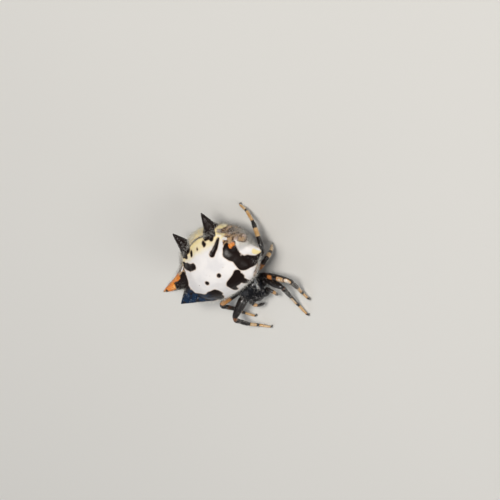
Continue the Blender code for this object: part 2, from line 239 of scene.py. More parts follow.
def noise_at(points, size, seed=0):
    """Smooth random values from -1 to 1 whose lumps are about size across."""
    cell = points / size + 101.0
    low = np.floor(cell).astype(np.int64)
    share = cell - low
    share = share * share * (3.0 - 2.0 * share)
    total = np.zeros(len(points))
    for corner in np.ndindex(2, 2, 2):
        index = low + np.array(corner)
        key = (index @ NOISE_STEPS + seed * NOISE_SEED_STEP) % len(NOISE_TABLE)
        weight = np.ones(len(points))
        for axis in range(3):
            weight *= share[:, axis] if corner[axis] else 1.0 - share[:, axis]
        total += weight * NOISE_TABLE[key]
    return total * 2.0 - 1.0


def unit(vectors):
    vectors = np.asarray(vectors, float)
    length = np.linalg.norm(vectors, axis=-1, keepdims=True)
    return vectors / np.maximum(length, 1e-12)


def circle(count):
    return 2.0 * np.pi * np.arange(count) / count


def at(marks, table):
    """What a table of pairs says at each mark, straight in between."""
    return np.interp(marks, *zip(*table))


# materials

def add(tree, kind, inputs=None, **settings):
    """A node with its settings, and each input either linked to a socket or given a value."""
    node = tree.nodes.new(kind)
    for key, value in settings.items():
        setattr(node, key, value)
    for key, value in (inputs or {}).items():
        if isinstance(value, bpy.types.NodeSocket):
            tree.links.new(value, node.inputs[key])
        else:
            node.inputs[key].default_value = value
    return node


def attribute(tree, name):
    return add(tree, "ShaderNodeAttribute", attribute_name=name).outputs["Fac"]


def spot_noise(tree, size, detail=3.0, rough=0.55):
    """Noise whose lumps are about size millimetres across."""
    coords = add(tree, "ShaderNodeTexCoord").outputs["Object"]
    inputs = {"Vector": coords, "Scale": 0.5 / (size * MM), "Detail": detail, "Roughness": rough}
    return add(tree, "ShaderNodeTexNoise", inputs).outputs["Fac"]


def cells(tree, size):
    """How far each place lies from the middle of its cell, in cells size millimetres across."""
    coords = add(tree, "ShaderNodeTexCoord").outputs["Object"]
    inputs = {"Vector": coords, "Scale": 1.0 / (size * MM)}
    return add(tree, "ShaderNodeTexVoronoi", inputs).outputs["Distance"]


def calc(tree, operation, *values):
    return add(tree, "ShaderNodeMath", dict(enumerate(values)), operation=operation).outputs[0]


def uneven(tree, name, noise, size):
    """A named value of the points, raised and lowered by noise over a range of the given size."""
    return calc(tree, "ADD", attribute(tree, name), calc(tree, "MULTIPLY_ADD", noise, size, -0.5 * size))


def step(tree, low, high, value):
    inputs = {"Value": value, "From Min": low, "From Max": high}
    return add(tree, "ShaderNodeMapRange", inputs, interpolation_type="SMOOTHSTEP").outputs["Result"]


def blend(tree, share, first, second):
    """Mix two colours, each a socket or three numbers."""
    pair = [c if isinstance(c, bpy.types.NodeSocket) else (*c, 1.0) for c in (first, second)]
    return add(tree, "ShaderNodeMix", {0: share, 6: pair[0], 7: pair[1]}, data_type="RGBA").outputs[2]


def bump(tree, height, strength, distance, under=None):
    inputs = {"Height": height, "Strength": strength, "Distance": distance * MM}
    if under is not None:
        inputs["Normal"] = under
    return add(tree, "ShaderNodeBump", inputs).outputs["Normal"]


def finish(name, colour, roughness, normal=None, **values):
    """Send colour, roughness and bump to the shader, and set its plain numbers on its own sockets."""
    tree = bpy.data.materials[name].node_tree
    shader = tree.nodes["Principled BSDF"]
    tree.links.new(colour, shader.inputs["Base Color"])
    if isinstance(roughness, bpy.types.NodeSocket):
        tree.links.new(roughness, shader.inputs["Roughness"])
    else:
        shader.inputs["Roughness"].default_value = roughness
    if normal is not None:
        tree.links.new(normal, shader.inputs["Normal"])
    for key, value in values.items():
        shader.inputs[key.replace("_", " ")].default_value = value


def new_tree(name):
    made = bpy.data.materials.new(name)
    made.use_nodes = True
    return made.node_tree


IVORY = (0.82, 0.79, 0.77)
PEARL = (0.72, 0.70, 0.70)
CREAM = (0.88, 0.74, 0.38)
TAN = (0.50, 0.32, 0.17)
BARK = (0.10, 0.052, 0.028)
DUST = (0.55, 0.42, 0.36)
UMBER = (0.060, 0.030, 0.018)
RUST = (0.72, 0.22, 0.035)
GOLD = (0.85, 0.46, 0.14)
PITCH = (0.012, 0.0065, 0.005)
# painted sheen: the navy is a reflection of blue sky on the black of the right front margin
SHEEN_NAVY = (0.007, 0.025, 0.062)
INK = (0.005, 0.005, 0.006)
SLATE = (0.010, 0.012, 0.018)
# the streak on the carapace: pale hairs, painted as a highlight too
FROST_HAIR_AND_HIGHLIGHT = (0.42, 0.50, 0.60)
AMBER = (0.50, 0.27, 0.085)
HONEY = (0.62, 0.44, 0.24)
ORANGE = (0.44, 0.15, 0.028)
# milky patches, partly the leg's own pale and partly a painted highlight
MILK_AND_HIGHLIGHT = (0.66, 0.60, 0.52)
SOOT = (0.010, 0.007, 0.006)
CHESTNUT = (0.13, 0.050, 0.018)
WAXY = (0.42, 0.42, 0.42)
GLOSSY = (0.30, 0.30, 0.30)


def shell_material():
    tree = new_tree("shell_skin")
    fine = spot_noise(tree, 0.10, 4.0)
    broad = spot_noise(tree, 0.7, 3.0)
    ground = blend(tree, step(tree, 0.40, 0.75, broad), IVORY, PEARL)
    ground = blend(tree, step(tree, 0.15, 0.85, uneven(tree, "warm", broad, 0.5)), ground, CREAM)
    mottle = blend(tree, step(tree, 0.42, 0.56, spot_noise(tree, 0.20, 4.0)), TAN, BARK)
    mottle = blend(tree, step(tree, 0.54, 0.66, spot_noise(tree, 0.33, 3.0)), mottle, DUST)
    ground = blend(tree, step(tree, 0.25, 0.70, uneven(tree, "brown", fine, 0.8)), ground, mottle)
    ground = blend(tree, step(tree, 0.35, 0.65, uneven(tree, "under", fine, 0.7)), ground, UMBER)

    dark = uneven(tree, "dark", fine, 0.09)
    ground = blend(tree, calc(tree, "MULTIPLY", step(tree, -0.12, -0.02, dark), 0.5), ground, TAN)
    # painted sheen: spots of navy reflected sky over the black of the right front margin
    glints = step(tree, 0.36, 0.56, spot_noise(tree, 0.16, 4.0))
    black = blend(tree, calc(tree, "MULTIPLY", attribute(tree, "painted_blue_sheen"), glints), PITCH, SHEEN_NAVY)
    colour = blend(tree, step(tree, -0.035, 0.02, dark), ground, black)
    glow = blend(tree, step(tree, 0.50, 0.70, spot_noise(tree, 0.20, 3.0)), RUST, GOLD)
    colour = blend(tree, step(tree, 0.35, 0.65, uneven(tree, "rust", fine, 0.6)), colour, glow)

    gloss = blend(tree, step(tree, -0.02, 0.04, dark), WAXY, GLOSSY)
    grains = calc(tree, "MULTIPLY", cells(tree, 0.16), attribute(tree, "grain"))
    normal = bump(tree, grains, 0.7, 0.07)
    normal = bump(tree, fine, 0.35, 0.02, normal)
    finish("shell_skin", colour, gloss, normal, Specular_IOR_Level=0.20)


def black_body_material():
    tree = new_tree("black_skin")
    fine = spot_noise(tree, 0.07, 4.0)
    broad = spot_noise(tree, 0.5, 2.0)
    colour = blend(tree, step(tree, 0.45, 0.75, broad), INK, SLATE)
    # the bluish white streak of the carapace, pale hairs and a painted highlight
    hair_and_highlight_streak = calc(tree, "MULTIPLY", attribute(tree, "hair_and_highlight_streak"), step(tree, 0.42, 0.58, fine))
    colour = blend(tree, hair_and_highlight_streak, colour, FROST_HAIR_AND_HIGHLIGHT)
    normal = bump(tree, cells(tree, 0.09), 0.3, 0.02)
    normal = bump(tree, fine, 0.3, 0.010, normal)
    rough = calc(tree, "MULTIPLY_ADD", fine, 0.22, 0.14)
    finish("black_skin", colour, rough, normal, Specular_IOR_Level=0.45)


def leg_material():
    tree = new_tree("leg_skin")
    fine = spot_noise(tree, 0.06, 4.0)
    broad = spot_noise(tree, 0.35, 3.0)
    band = blend(tree, step(tree, 0.35, 0.7, broad), AMBER, HONEY)
    band = blend(tree, attribute(tree, "orange"), band, ORANGE)
    patches = step(tree, 0.40, 0.60, spot_noise(tree, 0.18, 4.0))
    # milky patches along some lengths, the leg's own pale with a painted highlight
    band = blend(tree, calc(tree, "MULTIPLY", attribute(tree, "milky"), patches), band, MILK_AND_HIGHLIGHT)
    pale = uneven(tree, "pale", fine, 0.24)
    edge = blend(tree, step(tree, 0.25, 0.45, pale), SOOT, CHESTNUT)
    colour = blend(tree, step(tree, 0.42, 0.62, pale), edge, band)
    normal = bump(tree, fine, 0.4, 0.012)
    rough = calc(tree, "MULTIPLY_ADD", fine, 0.25, 0.22)
    finish("leg_skin", colour, rough, normal, Coat_Weight=0.35, Coat_Roughness=0.15)


def hair_material():
    tree = new_tree("setae")
    colour = blend(tree, attribute(tree, "tone"), (0.86, 0.84, 0.78), (0.035, 0.025, 0.020))
    finish("setae", colour, 0.45, Specular_IOR_Level=0.6)


def eye_material():
    tree = new_tree("eye_lens")
    colour = blend(tree, spot_noise(tree, 0.1), (0.004, 0.004, 0.006), (0.012, 0.009, 0.010))
    finish("eye_lens", colour, 0.05, Coat_Weight=1.0, Coat_Roughness=0.02)


def fang_material():
    tree = new_tree("fang_horn")
    colour = blend(tree, spot_noise(tree, 0.15), (0.05, 0.018, 0.010), (0.018, 0.008, 0.006))
    finish("fang_horn", colour, 0.18, Coat_Weight=0.5, Coat_Roughness=0.05)


def floor_material():
    tree = new_tree("floor_sheet")
    colour = blend(tree, spot_noise(tree, 30.0, 2.0), (0.62, 0.61, 0.58), (0.66, 0.65, 0.62))
    finish("floor_sheet", colour, 0.8)


# meshes

def body_uv(points):
    """An unwrap from above, for the small pieces round the front body."""
    return np.stack([points[:, 0] / 4.0 + 0.5, (points[:, 1] + 6.0) / 5.0], 1)


def to_object(name, points, faces, material_name, slot, replaced=(), values=None, uv=None):
    """An object from millimetre points, riding on the body, with its named values on the points."""
    mesh = bpy.data.meshes.new(name)
    mesh.from_pydata(((points + ORIGIN) * MM).tolist(), [], [list(map(int, f)) for f in faces])
    mesh.materials.append(bpy.data.materials[material_name])
    mesh.shade_smooth()
    for key, numbers in (values or {}).items():
        layer = mesh.attributes.new(key, "FLOAT", "POINT")
        layer.data.foreach_set("value", np.asarray(numbers, np.float32))
    uv = body_uv(points) if uv is None else uv
    layer = mesh.uv_layers.new(name="OFBake")
    corners = np.zeros(len(mesh.loops), np.int32)
    mesh.loops.foreach_get("vertex_index", corners)
    layer.data.foreach_set("uv", np.asarray(uv, np.float32)[corners].ravel())
    made = bpy.data.objects.new(name, mesh)
    bpy.context.scene.collection.objects.link(made)
    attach(made, "root")
    if replaced:
        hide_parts(*replaced)


def loft(rings):
    """Points and faces of a closed skin over a stack of equal rings."""
    rings = np.asarray(rings)
    count, sides, _ = rings.shape
    points = rings.reshape(-1, 3)
    faces = []
    for low in range(count - 1):
        for i in range(sides):
            j = (i + 1) % sides
            faces.append((low * sides + i, low * sides + j, (low + 1) * sides + j, (low + 1) * sides + i))
    caps = np.array([rings[0].mean(0), rings[-1].mean(0)])
    points = np.vstack([points, caps])
    first, last = len(points) - 2, len(points) - 1
    top = (count - 1) * sides
    for i in range(sides):
        j = (i + 1) % sides
        faces.append((j, i, first))
        faces.append((top + i, top + j, last))
    return points, faces


def tube(centres, radii, sides, tangents=None):
    """Rings of the given radii along a line, turned as little as possible from one to the next."""
    centres = np.asarray(centres, float)
    if tangents is None:
        tangents = unit(np.gradient(centres, axis=0))
    side = np.cross((0.0, 0.0, 1.0), tangents[0])
    if np.linalg.norm(side) < 0.2:
        side = np.cross((0.0, 1.0, 0.0), tangents[0])
    turns = circle(sides)
    rings = []
    for centre, tangent, radius in zip(centres, tangents, radii):
        side = unit(side - tangent * side.dot(tangent))
        other = np.cross(tangent, side)
        rings.append(centre + radius * (np.outer(np.cos(turns), side) + np.outer(np.sin(turns), other)))
    return np.array(rings)


def hairs(name, roots, ways, lengths, widths, tones, uv, slot):
    """Fine tapered hairs as one closed mesh each, joined in one object and curved towards the tip."""
    ways = unit(ways)
    count = len(roots)
    side = unit(np.cross(ways, unit(RANDOM.normal(size=(count, 3)))))
    other = np.cross(ways, side)
    lengths, widths = lengths[:, None], widths[:, None]
    curl = (side * RANDOM.normal(size=(count, 1)) + other * RANDOM.normal(size=(count, 1))) * HAIR_BEND
    points = np.zeros((count, 7, 3))
    for k, turn in enumerate(circle(3)):
        around = math.cos(turn) * side + math.sin(turn) * other
        points[:, k] = roots + around * widths * 0.5
        points[:, 3 + k] = roots + ways * lengths * 0.5 + around * widths * HAIR_MIDDLE
    points[:, 6] = roots + (ways + curl * 0.5) * lengths
    faces = (np.arange(count)[:, None, None] * 7 + HAIR_FACES).reshape(-1, 3)
    patch = HAIR_PATCH * np.array([(0, 0), (1, 0), (0, 1), (0, 0), (1, 0), (0, 1), (1, 1)])
    spread = (uv[:, None, :] + patch).reshape(-1, 2)
    to_object(name, points.reshape(-1, 3), faces, "setae", slot, (), {"tone": np.repeat(tones, 7)}, spread)


# the abdomen

def front_to_back(pair, along):
    return pair[0] + (pair[1] - pair[0]) * smoothstep(-0.2, 0.6, along)


def rim_share(x, y):
    """How far out each place lies: 0 at the middle of the back and 1 on the rim."""
    reach = np.where(y > 0.0, RIM_BACK, RIM_FRONT)
    power = np.where(y > 0.0, RIM_SQUARENESS[1], RIM_SQUARENESS[0])
    return (np.abs(x / RIM_HALF_WIDTH) ** power + np.abs(y / reach) ** power) ** (1.0 / power)


def shell_ring(turns, inner, height_sign):
    """A ring of the shell at a share of the way from the pole to the rim."""
    across, along = np.cos(turns), np.sin(turns)
    reach = inner / rim_share(across, along)
    x, y = across * reach, along * reach
    if height_sign > 0:
        z = DOME_HEIGHT * (1.0 - inner ** front_to_back(DOME_SQUARENESS, along))
    else:
        fullness = front_to_back(BELLY_FULLNESS, along)
        sink = (1.0 - inner ** (1.15 * fullness)) ** (1.0 / fullness)
        y = y + FRONT_LEAN * sink * (1.0 - inner * along) / 2.0
        z = -BELLY_DEPTH * sink
    near_band = np.exp(-((z - SWELL_Z) / SWELL_HALF_HEIGHT) ** 2) * (1.0 - smoothstep(-0.35, 0.45, z))
    push = SWELL * near_band * smoothstep(0.05, 0.9, along) * smoothstep(0.3, 0.8, inner)
    return np.stack([x + across * push, y + along * push, z], 1)


def spine_radius(share, radius):
    hollow = 1.0 - SPINE_FLARE * np.sin(np.pi * np.clip(share, 0.0, 1.0))
    return radius * np.clip(1.0 - share, 0.0, 1.2) * hollow + SPINE_TIP_RADIUS


def spine_rings(root, tip, radius, mirror):
    start, end = np.array((root, tip)) * (mirror, 1.0, 1.0)
    axis = unit(end - start)
    shares = np.linspace(0.0, 1.0, 24)
    centres = [start - axis * SPINE_ROOT_SINK] + [start + (end - start) * s for s in shares]
    radii = [radius * 1.05] + list(spine_radius(shares, radius))
    return tube(centres, radii, 28, np.array([axis] * len(centres)))


def voxel_skin(parts, voxel):
    """One skin of even small faces over several closed shapes."""
    points, faces = [], []
    for part_points, part_faces in parts:
        faces += [[int(i) + len(points) for i in face] for face in part_faces]
        points += np.asarray(part_points).tolist()
    mesh = bpy.data.meshes.new("raw_skin")
    mesh.from_pydata(points, [], faces)
    raw = bpy.data.objects.new("raw_skin", mesh)
    bpy.context.scene.collection.objects.link(raw)
    change = raw.modifiers.new("skin", "REMESH")
    change.mode = "VOXEL"
    change.voxel_size = voxel
    bpy.context.view_layer.update()
    made = bpy.data.meshes.new_from_object(raw.evaluated_get(bpy.context.evaluated_depsgraph_get()))
    bpy.data.objects.remove(raw, do_unlink=True)
    return made


def mesh_arrays(mesh):
    points = np.zeros(len(mesh.vertices) * 3)
    mesh.vertices.foreach_get("co", points)
    edges = np.zeros(len(mesh.edges) * 2, np.int64)
    mesh.edges.foreach_get("vertices", edges)
    return points.reshape(-1, 3), edges.reshape(-1, 2)


def smooth(points, edges, weight, rounds):
    """Draw each point towards the middle of its neighbours, by its weight."""
    count = len(points)
    degree = np.bincount(edges.ravel(), minlength=count)[:, None]
    for _ in range(rounds):
        total = np.zeros_like(points)
        for axis in range(3):
            total[:, axis] = np.bincount(edges[:, 0], points[edges[:, 1], axis], count)
            total[:, axis] += np.bincount(edges[:, 1], points[edges[:, 0], axis], count)
        points = points + (total / degree - points) * weight[:, None]
    return points


def normals_of(mesh, points):
    mesh.vertices.foreach_set("co", points.ravel())
    mesh.update()
    normals = np.zeros(len(points) * 3)
    mesh.vertex_normals.foreach_get("vector", normals)
    return normals.reshape(-1, 3)


def chain_field(points, chain):
    """How deep each point lies inside a chain of round spots, negative outside, in plan or in space."""
    chain = np.array(chain)
    places, radii = chain[:, :-1], chain[:, -1]
    flat = points[:, :places.shape[1]]
    best = np.full(len(points), FAR_OUTSIDE)
    for start, end, first, last in zip(places, places[1:], radii, radii[1:]):
        along = end - start
        share = np.clip((flat - start) @ along / (along @ along), 0.0, 1.0)
        gap = np.linalg.norm(flat - start - share[:, None] * along, axis=1)
        best = np.maximum(best, first + (last - first) * share - gap)
    return best


def mirrored(points):
    """The points with the right half folded over onto the left."""
    return points * np.where(points[:, :1] < 0.0, (-1.0, 1.0, 1.0), (1.0, 1.0, 1.0))


def spine_fields(points):
    """For each spine: name, side, share along it, gap from its cone, the way it faces and its length."""
    for name, (root, tip, radius) in SPINES.items():
        for mirror in (1, -1):
            start, end = np.array((root, tip)) * (mirror, 1.0, 1.0)
            axis = end - start
            share = (points - start) @ axis / (axis @ axis)
            away = points - start - np.clip(share, -0.3, 1.0)[:, None] * axis
            gap = np.linalg.norm(away, axis=1) - spine_radius(share, radius)
            yield name, mirror, share, gap, unit(away) * (mirror, 1.0, 1.0), np.linalg.norm(axis)


def shell_mesh():
    """The plain skin over the shell and its spines, with the joins of the spines rounded."""
    turns = circle(180)
    dome = [shell_ring(turns, inner, 1) for inner in np.sin(np.linspace(0.03, 1.0, 30) * np.pi / 2.0)[:-1]]
    belly = [shell_ring(turns, inner, -1) for inner in np.cos(np.linspace(0.0, 0.98, 36) * np.pi / 2.0)]
    parts = [loft(np.array(dome + belly))]
    for root, tip, radius in (*SPINES.values(), *FRONT_SPINE_WEBS):
        parts += [loft(spine_rings(root, tip, radius, mirror)) for mirror in (1, -1)]
    mesh = voxel_skin(parts, SKIN_VOXEL)
    points, edges = mesh_arrays(mesh)
    points = smooth(points, edges, np.full(len(points), 0.5), 2)
    fillet = np.zeros(len(points))
    for _, _, share, gap, _, length in spine_fields(points):
        seam = np.abs(gap) + np.clip(share - 0.35, 0.0, 1.0) * length * 2.0
        fillet = np.maximum(fillet, 1.0 - smoothstep(0.1, FILLET_WIDTH, seam))
    return mesh, smooth(points, edges, fillet * 0.6, 40), edges


def middle_spine_marks(points, mirror, share, near, facing):
    """What a middle spine loses of its black, and its orange and brown. The left one is the paler."""
    rearward = smoothstep(0.25, 0.60, facing[:, 1] + noise_at(points, 0.3, 8) * 0.15)
    end = smoothstep(0.78, 0.90, share)
    lost = 0.6 * near * (rearward + end)
    if mirror > 0:
        lost += 0.6 * near * smoothstep(0.38, 0.52, share)
        seam = np.exp(-((facing[:, 1] - 0.22) / 0.30) ** 2) * smoothstep(0.50, 0.28, share)
        seam *= smoothstep(0.0, 0.4, facing[:, 2])
        rust = 0.85 * seam * near * smoothstep(0.02, 0.12, share)
    else:
        edge = 0.56 + noise_at(points, 0.25, 9) * 0.07 - 0.08 * facing[:, 1]
        tip = smoothstep(edge - 0.06, edge + 0.06, share) * (1.0 - end)
        rust = near * np.maximum(tip, 0.9 * rearward * smoothstep(0.1, 0.3, share))
    brown = near * np.maximum(rearward, smoothstep(0.45, 0.60, share))
    return lost, rust, brown


def spine_marks(points):
    """The black, orange, brown and grain of the spines, and how far they keep the relief off."""
    dark = np.full(len(points), FAR_OUTSIDE)
    rust, brown, grain, calm = np.zeros((4, len(points)))
    for name, mirror, share, gap, facing, length in spine_fields(points):
        near = 1.0 - smoothstep(0.02, 0.25, gap)
        start, reach = 0.10, 0.16
        if name == "rear":
            outer = smoothstep(0.1, 0.6, facing[:, 0] - facing[:, 2] * 0.5)
            start, reach = -0.02 + 0.24 * outer, 0.12
        cone = np.clip(np.minimum(reach - gap, (share - start) * length), -0.5, 0.4)
        if name == "middle":
            lost, orange, tan = middle_spine_marks(points, mirror, share, near, facing)
            cone -= lost
            rust = np.maximum(rust, orange)
            brown = np.maximum(brown, tan)
        dark = np.maximum(dark, cone)
        grain = np.maximum(grain, near * smoothstep(0.0, 0.3, share))
        calm = np.maximum(calm, near * smoothstep(0.1, 0.4, share))
    return SimpleNamespace(dark=dark, rust=rust, brown=brown, grain=grain, calm=calm)


def shell_fields(points):
    """What the shell's relief and its colours both read, at each point of the plain skin."""
    x, y, z = points.T
    wavy = points + np.stack([noise_at(points, 0.42, seed) for seed in (21, 22, 23)], 1) * 0.05
    folded = mirrored(wavy)
    spread = rim_share(x, y)
    back = smoothstep(1.3, 2.5, y)
    groove = GROOVE_HALF_WIDTH - np.abs(spread - GROOVE_SHARE) * RIM_BACK
    groove = np.where(z > -0.4, groove, -1.0) - 0.5 * smoothstep(1.35, 1.75, np.abs(x)) - (1.0 - back) * 0.5
    return SimpleNamespace(
        x=x, y=y, z=z, spread=spread, back=back, groove=groove,
        top=smoothstep(-0.9, -0.3, z),
        marks={key: chain_field(wavy, chain) for key, chain in BLACK_MARKS.items()},
        blob=chain_field(wavy, WHITE_BLOB),
        patches=np.max([chain_field(wavy, chain) for chain in LIGHT_PATCHES], axis=0),
        yellow=chain_field(folded, YELLOW_TIP),
        lumps=np.max([chain_field(folded, chain) for chain in REAR_LUMPS], axis=0),
        crease=np.max([chain_field(folded, chain) for chain in CREASES], axis=0),
        spines=spine_marks(points),
    )


def shell_relief(points, field):
    """How far each point is pushed out by pits, groove, lumps, creases and the wrinkled flanks."""
    pits = np.zeros(len(points))
    for key, depth in field.marks.items():
        if key.startswith(("centre", "back", "long")):
            pits = np.maximum(pits, smoothstep(-0.04, 0.14, depth))
    side = (1.0 - field.top) * smoothstep(-2.6, -2.0, field.z)
    push = -PIT_DEPTH * pits * field.top - GROOVE_DEPTH * smoothstep(-0.06, 0.05, field.groove)
    push += noise_at(points, 0.8, 1) * 0.035 + noise_at(points, 0.28, 2) * 0.012
    push += noise_at(points * np.array([1.0, 1.0, 0.35]), 0.22, 3) * 0.05 * side
    push += 0.07 * smoothstep(-0.08, 0.18, field.lumps) - 0.05 * smoothstep(-0.04, 0.05, field.crease)
    return push * (1.0 - 0.8 * field.spines.calm)


def shell_warmth(field):
    outside = smoothstep(GROOVE_SHARE, GROOVE_SHARE + 0.06, field.spread) * field.back * field.top
    warm = field.back * 0.62 + 0.95 * outside
    warm += 0.35 * smoothstep(0.85, 1.0, field.spread) * smoothstep(-0.5, 1.0, field.y)
    warm = np.maximum(warm, 1.1 * smoothstep(-0.10, 0.10, field.yellow))
    return np.maximum(warm * (1.0 - 0.5 * smoothstep(-0.05, 0.12, field.lumps)), 0.0)


def shell_browns(points, field):
    """Mottled brown of the flanks and spines, the creases, the specks and the front margin."""
    outer_side = smoothstep(1.4, 2.6, np.abs(field.x) + 0.5 * noise_at(points, 0.5, 12))
    brown = smoothstep(0.15, -0.30, field.z + 0.25 * noise_at(points, 0.9, 6)) * outer_side
    brown = np.maximum(brown, smoothstep(-0.80, -1.20, field.z + 0.35 * noise_at(points, 0.6, 7)))
    brown = np.maximum(brown, field.spines.brown)
    brown *= 1.0 - smoothstep(-0.04, 0.08, np.maximum(field.lumps, field.blob))
    brown = np.maximum(brown, smoothstep(-0.04, 0.03, field.crease))
    for across, along in SPECKS:
        away = np.hypot(field.x - across, field.y - along)
        brown = np.maximum(brown, 0.55 * smoothstep(0.08, 0.03, away) * field.top)
    return np.maximum(brown, 0.45 * smoothstep(0.96, 1.03, field.spread) * smoothstep(-0.6, -1.6, field.y))


def shell_values(points, field):
    """The named values that the shell's material reads."""
    dark = np.max(list(field.marks.values()), axis=0) * field.top - (1.0 - field.top) * 0.6
    dark = np.max([dark, field.groove, field.spines.dark], axis=0)
    patch_grain = 0.6 * smoothstep(0.0, 0.2, field.marks["side_patch_right"])
    return {
        "dark": np.minimum(dark, -field.patches),
        "warm": shell_warmth(field),
        "brown": shell_browns(points, field),
        "under": smoothstep(-1.5, -2.2, field.z),
        # the right front margin, where the black carries the painted blue sheen of reflected sky
        "painted_blue_sheen": smoothstep(-1.2, -2.6, field.x) * smoothstep(0.2, -0.5, field.y),
        "rust": field.spines.rust * (1.0 - smoothstep(-0.05, 0.05, field.blob)),
        "grain": np.maximum(field.spines.grain, patch_grain),
    }


def shell_uv(points):
    """An unwrap of the shell from above and from below, side by side."""
    u = (points[:, 0] / 11.4 + 0.5) * 0.48
    v = (points[:, 1] + 3.2) / 8.4
    return np.stack([np.where(points[:, 2] < -0.2, u + 0.51, u), v], 1)


def build_abdomen():
    mesh, points, edges = shell_mesh()
    field = shell_fields(points)
    points = points + normals_of(mesh, points) * shell_relief(points, field)[:, None]
    points = smooth(points, edges, np.full(len(points), 0.3), 1)
    faces = [tuple(face.vertices) for face in mesh.polygons]
    values = shell_values(points, field)
    to_object("abdomen_skin", points, faces, "shell_skin", "shell", ("abdomen",), values, shell_uv(points))
    return points, normals_of(mesh, points)


def build_abdomen_hair(points, normals):
    """A short white fringe round the margins and flanks, thicker tufts on the middle spines."""
    spread = rim_share(points[:, 0], points[:, 1])
    edge = smoothstep(0.86, 1.02, spread) * smoothstep(-2.3, -1.0, points[:, 2])
    weight = edge * (0.4 + 0.6 * smoothstep(-1.5, 1.0, points[:, 1]))
    weight *= 1.0 - 0.8 * smoothstep(0.0, 0.4, points[:, 2])
    tuft, black, point_end = np.zeros((3, len(points)))
    for name, _, share, gap, _, _ in spine_fields(points):
        near = smoothstep(0.2, 0.0, gap) * smoothstep(0.1, 0.3, share)
        point_end = np.maximum(point_end, smoothstep(0.25, 0.0, gap) * smoothstep(0.45, 0.85, share))
        if name == "middle":
            tuft = np.maximum(tuft, near * (0.06 + 0.94 * smoothstep(0.45, 0.85, share)))
        else:
            black = np.maximum(black, near)
    weight = weight * (1.0 - 0.97 * black) * (1.0 - 0.95 * tuft) + tuft * 0.7
    flank = smoothstep(2.0, 2.8, np.abs(points[:, 0])) * smoothstep(0.3, 1.0, points[:, 1])
    weight *= 1.0 - 0.5 * flank * (1.0 - tuft)
    picked = RANDOM.choice(len(points), FRINGE_HAIRS, replace=False, p=weight / weight.sum())
    ways = normals[picked] + RANDOM.normal(size=(FRINGE_HAIRS, 3)) * 0.30
    lengths = RANDOM.uniform(0.15, 0.38, FRINGE_HAIRS) * (1.0 - 0.62 * point_end[picked])
    widths = RANDOM.uniform(0.009, 0.015, FRINGE_HAIRS)
    tones = RANDOM.uniform(0.0, 0.15, FRINGE_HAIRS) + flank[picked] * RANDOM.uniform(0.0, 0.7, FRINGE_HAIRS)
    roots = points[picked] - normals[picked] * 0.01
    hairs("abdomen_fringe", roots, ways, lengths, widths, tones, shell_uv(roots), "shell")


# the front body

def roof_height(share):
    rise = np.sin(np.pi * np.minimum(share / 0.50, 1.0) / 2.0) ** 0.9
    fall = np.maximum(share - 0.50, 0.0) / 0.50
    low_back = CARAPACE_UNDERSIDE + 0.35
    return low_back + (CARAPACE_ROOF - low_back) * rise - HEAD_DROP * fall ** 2.0


def carapace_half_width(share):
    wide = CARAPACE_HALF_WIDTH * (0.45 + 0.55 * np.sin(np.pi * np.minimum(share / 0.45, 1.0) / 2.0))
    narrowing = np.maximum(share - 0.45, 0.0) / 0.55
    return wide - 0.36 * CARAPACE_HALF_WIDTH * narrowing ** 1.6


def carapace_ring(share, turns):
    y = THORAX_BACK + (HEAD_FRONT - THORAX_BACK) * share
    edge = CARAPACE_UNDERSIDE + 0.25
    cos, sin = np.cos(turns), np.sin(turns)
    x = carapace_half_width(share) * np.sign(cos) * np.abs(cos) ** 0.85
    above = edge + (roof_height(share) - edge) * np.abs(sin) ** 0.9
    below = edge - (edge - CARAPACE_UNDERSIDE) * np.abs(sin) ** 0.6
    return np.stack([x, np.full(len(turns), y), np.where(sin >= 0.0, above, below)], 1)


def build_carapace():
    shares = 0.5 - 0.5 * np.cos(np.linspace(0.0, 1.0, 60) * np.pi)
    rings = np.array([carapace_ring(s, circle(72)) for s in shares])
    for k, share in enumerate(shares):
        pull = 1.0 - 0.35 * (1.0 - smoothstep(0.0, 0.06, min(share, 1.0 - share)))
        middle = np.array([0.0, rings[k][:, 1].mean(), CARAPACE_UNDERSIDE + 0.5])
        rings[k] = middle + (rings[k] - middle) * np.array([pull, 1.0, pull])
    points, faces = loft(rings)
    x, y, z = points.T
    roof = smoothstep(-1.9, -1.2, z)
    share = (THORAX_BACK - y) / (THORAX_BACK - HEAD_FRONT)
    neck = np.exp(-((np.abs(x) - (0.25 + 0.55 * smoothstep(0.35, 0.8, share))) / 0.12) ** 2)
    neck *= smoothstep(0.25, 0.4, share) * (1.0 - smoothstep(0.7, 0.85, share))
    pit = np.exp(-(x / 0.18) ** 2 - ((share - 0.32) / 0.07) ** 2)
    brow = np.exp(-(x / 0.42) ** 2 - ((share - 0.90) / 0.10) ** 2)
    points[:, 2] += roof * (0.08 * brow - 0.07 * neck - 0.09 * pit)
    points[:, 2] += roof * (noise_at(points, 0.35, 4) * 0.025)
    # the streak is pale hairs with a painted highlight along them
    values = {"hair_and_highlight_streak": smoothstep(-0.05, 0.05, chain_field(points, PALE_HAIR_AND_HIGHLIGHT_STREAK))}
    to_object("carapace_skin", points, faces, "black_skin", "carapace", ("carapace",), values)
    return points, faces

def scatter(points, faces, count, weight_of):
    """Random spots on a mesh of points and faces, with their normals."""
    corners = np.array([face[:3] for face in faces])
    a, b, c = (points[corners[:, k]] for k in range(3))
    cross = np.cross(b - a, c - a)
    size = np.linalg.norm(cross, axis=1) * weight_of((a + b + c) / 3.0)
    picked = RANDOM.choice(len(faces), count, p=size / size.sum())
    mix = RANDOM.dirichlet((1.0, 1.0, 1.0), count)
    spots = a[picked] * mix[:, :1] + b[picked] * mix[:, 1:2] + c[picked] * mix[:, 2:]
    return spots, unit(cross)[picked]


